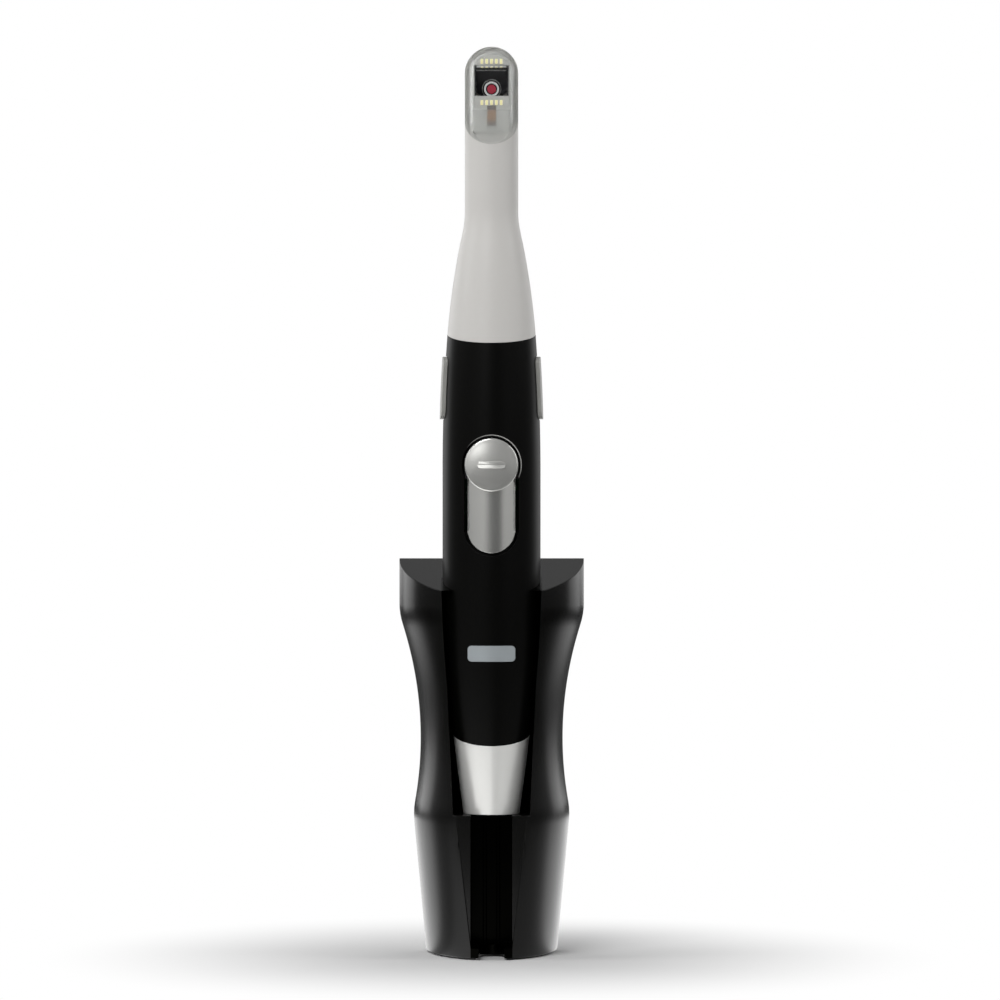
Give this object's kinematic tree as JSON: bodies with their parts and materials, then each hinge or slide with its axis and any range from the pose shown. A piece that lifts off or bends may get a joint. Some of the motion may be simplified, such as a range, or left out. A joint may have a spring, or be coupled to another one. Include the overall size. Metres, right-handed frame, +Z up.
{
  "type": "intraoral camera",
  "caption": "Slim dental camera wand with angled viewing head, sliding focus knob and side buttons, standing in an open-fronted table holder with a cable channel.",
  "frame": {"origin": "centre of the bounding box of wand and holder, on the surface the holder stands on", "axes": "+Z up along the wand, -Y to the front where the window and the focus knob are, +Y to the flat back of the holder"},
  "size_m": [0.0486, 0.0314, 0.2363],
  "materials": {
    "silver_paint": "satin silver-white paint",
    "window_plastic": "clear, polished",
    "seal": "matt",
    "lamp_board": "matt solder mask",
    "lamp": "glossy epoxy",
    "flex": "matt film",
    "inner_black": "matt black",
    "mirror": "front-surface mirror",
    "ring_chrome": "bright",
    "coated_glass": "red-tinted coating",
    "plain_glass": "clear",
    "knob_silver": "satin silver",
    "steel": "ground",
    "carriage_plastic": "matt",
    "circuit_board": "solder mask",
    "chip": "matt",
    "sensor": "glossy",
    "grip_black": "satin",
    "badge_grey": "satin, blank",
    "track_silver": "satin",
    "frame_plastic": "matt",
    "button_grey": "satin",
    "switch_plastic": "matt",
    "tail_silver": "brushed round",
    "contact_gold": "plated",
    "holder_black": "satin",
    "back_black": "fine texture",
    "foot_rubber": "matt"
  },
  "bodies": {
    "root": {"head_shell": "silver_paint", "front_window": "window_plastic", "window_seal": "seal", "led_board": "lamp_board", "led_upper_1": "lamp", "led_upper_2": "lamp", "led_upper_3": "lamp", "led_upper_4": "lamp", "led_upper_5": "lamp", "led_lower_1": "lamp", "led_lower_2": "lamp", "led_lower_3": "lamp", "led_lower_4": "lamp", "led_lower_5": "lamp", "led_flex": "flex", "mirror_box": "inner_black", "fold_mirror": "mirror", "lens_barrel": "inner_black", "lens_retainer": "ring_chrome", "front_lens": "coated_glass", "rear_lens": "plain_glass", "grip_shell": "grip_black", "badge": "badge_grey", "track_plate": "track_silver", "chassis": "frame_plastic", "main_board": "circuit_board", "board_screws": "steel", "processor_chip": "chip", "memory_chip": "chip", "rod_guide": "frame_plastic", "left_switch": "switch_plastic", "right_switch": "switch_plastic", "tail_sleeve": "tail_silver", "connector_shell": "steel", "connector_insert": "inner_black", "contact_sockets": "contact_gold", "connector_nut": "steel", "holder_shell": "holder_black", "back_plate": "back_black", "back_screws": "steel", "foot_pad": "foot_rubber"},
    "focus_slider": {"focus_knob": "knob_silver", "knob_shoe": "steel", "focus_rod": "steel", "sensor_carriage": "carriage_plastic", "sensor_board": "circuit_board", "image_sensor": "sensor"},
    "left_button": {"left_button": "button_grey", "left_plunger": "switch_plastic"},
    "right_button": {"right_button": "button_grey", "right_plunger": "switch_plastic"}
  },
  "joints": [
    {"name": "focus_slide", "type": "slide", "parent": "root", "child": "focus_slider", "axis": [0, 0, -1], "range_m": [0, 0.015]},
    {"name": "left_button_press", "type": "slide", "parent": "root", "child": "left_button", "axis": [1, 0, 0], "range_m": [0, 0.0006], "stiffness_N_per_m": 400, "springref_m": -0.001},
    {"name": "right_button_press", "type": "slide", "parent": "root", "child": "right_button", "axis": [-1, 0, 0], "range_m": [0, 0.0006], "stiffness_N_per_m": 400, "springref_m": -0.001}
  ]
}
